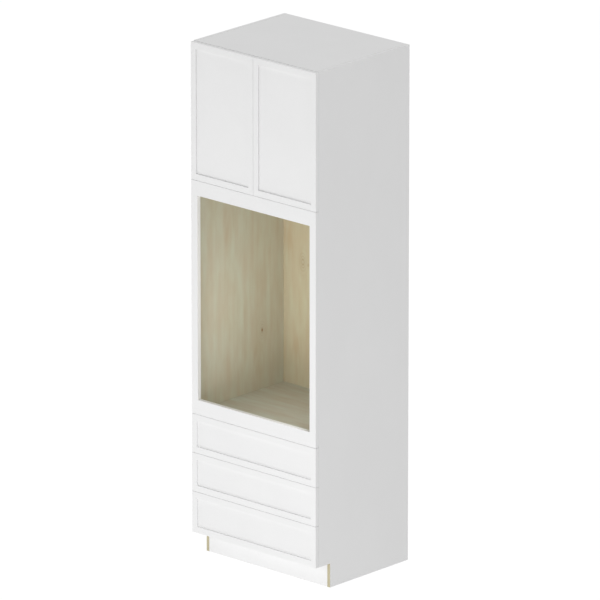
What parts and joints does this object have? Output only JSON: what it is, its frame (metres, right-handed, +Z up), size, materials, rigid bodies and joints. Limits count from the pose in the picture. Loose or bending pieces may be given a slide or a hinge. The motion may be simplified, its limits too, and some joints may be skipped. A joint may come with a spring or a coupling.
{
  "type": "oven housing cabinet",
  "caption": "Tall kitchen cabinet for a built-in oven: doored cupboard above, open oven compartment behind a white surround, shaker drawers below and a recessed toe kick.",
  "frame": {"origin": "middle of the footprint at floor level, halfway from the faces of the fronts to the back of the case", "axes": "+Z up, the doors and drawer fronts face -Y, +X to the right of someone who faces the cabinet"},
  "size_m": [0.762, 0.6208, 2.4384],
  "materials": {
    "front_lacquer": "satin white lacquer on fibreboard",
    "case_white": "white laminate outside, pale maple inside, on plywood",
    "maple_board": "clear-finished maple plywood",
    "birch_board": "clear-finished birch plywood",
    "nickel_steel": "nickel-plated steel",
    "cream_steel": "cream powder-coated steel"
  },
  "bodies": {
    "case": {"left_side_panel": "case_white", "right_side_panel": "case_white", "top_panel": "case_white", "toe_kick_board": "case_white", "bottom_panel": "maple_board", "oven_deck": "maple_board", "cupboard_floor": "maple_board", "left_deck_cleat": "maple_board", "right_deck_cleat": "maple_board", "back_panel": "maple_board", "upper_back_rail": "maple_board", "lower_back_rail": "maple_board", "adjustable_shelf": "maple_board", "front_left_shelf_support": "nickel_steel", "front_right_shelf_support": "nickel_steel", "rear_left_shelf_support": "nickel_steel", "rear_right_shelf_support": "nickel_steel", "oven_surround_panel": "front_lacquer", "left_lower_hinge_arm": "nickel_steel", "left_upper_hinge_arm": "nickel_steel", "right_lower_hinge_arm": "nickel_steel", "right_upper_hinge_arm": "nickel_steel", "upper_drawer_left_case_rail": "cream_steel", "upper_drawer_right_case_rail": "cream_steel", "middle_drawer_left_case_rail": "cream_steel", "middle_drawer_right_case_rail": "cream_steel", "lower_drawer_left_case_rail": "cream_steel", "lower_drawer_right_case_rail": "cream_steel"},
    "left_door": {"left_door_frame": "front_lacquer", "left_door_panel": "front_lacquer", "left_lower_hinge_cup": "nickel_steel", "left_upper_hinge_cup": "nickel_steel"},
    "right_door": {"right_door_frame": "front_lacquer", "right_door_panel": "front_lacquer", "right_lower_hinge_cup": "nickel_steel", "right_upper_hinge_cup": "nickel_steel"},
    "upper_drawer": {"upper_drawer_front": "front_lacquer", "upper_drawer_left_side": "birch_board", "upper_drawer_right_side": "birch_board", "upper_drawer_box_front": "birch_board", "upper_drawer_box_back": "birch_board", "upper_drawer_bottom": "birch_board", "upper_drawer_left_rail": "cream_steel", "upper_drawer_right_rail": "cream_steel"},
    "middle_drawer": {"middle_drawer_front": "front_lacquer", "middle_drawer_left_side": "birch_board", "middle_drawer_right_side": "birch_board", "middle_drawer_box_front": "birch_board", "middle_drawer_box_back": "birch_board", "middle_drawer_bottom": "birch_board", "middle_drawer_left_rail": "cream_steel", "middle_drawer_right_rail": "cream_steel"},
    "lower_drawer": {"lower_drawer_front": "front_lacquer", "lower_drawer_left_side": "birch_board", "lower_drawer_right_side": "birch_board", "lower_drawer_box_front": "birch_board", "lower_drawer_box_back": "birch_board", "lower_drawer_bottom": "birch_board", "lower_drawer_left_rail": "cream_steel", "lower_drawer_right_rail": "cream_steel"}
  },
  "joints": [
    {"name": "left_door_hinge", "type": "hinge", "parent": "case", "child": "left_door", "pos_m": [-0.3772, -0.30885, 2.1138], "axis": [0, 0, -1], "range_deg": [0, 110]},
    {"name": "right_door_hinge", "type": "hinge", "parent": "case", "child": "right_door", "pos_m": [0.3772, -0.30885, 2.1138], "axis": [0, 0, 1], "range_deg": [0, 110]},
    {"name": "upper_drawer_slide", "type": "slide", "parent": "case", "child": "upper_drawer", "axis": [0, -1, 0], "range_m": [0, 0.4]},
    {"name": "middle_drawer_slide", "type": "slide", "parent": "case", "child": "middle_drawer", "axis": [0, -1, 0], "range_m": [0, 0.4]},
    {"name": "lower_drawer_slide", "type": "slide", "parent": "case", "child": "lower_drawer", "axis": [0, -1, 0], "range_m": [0, 0.4]}
  ]
}
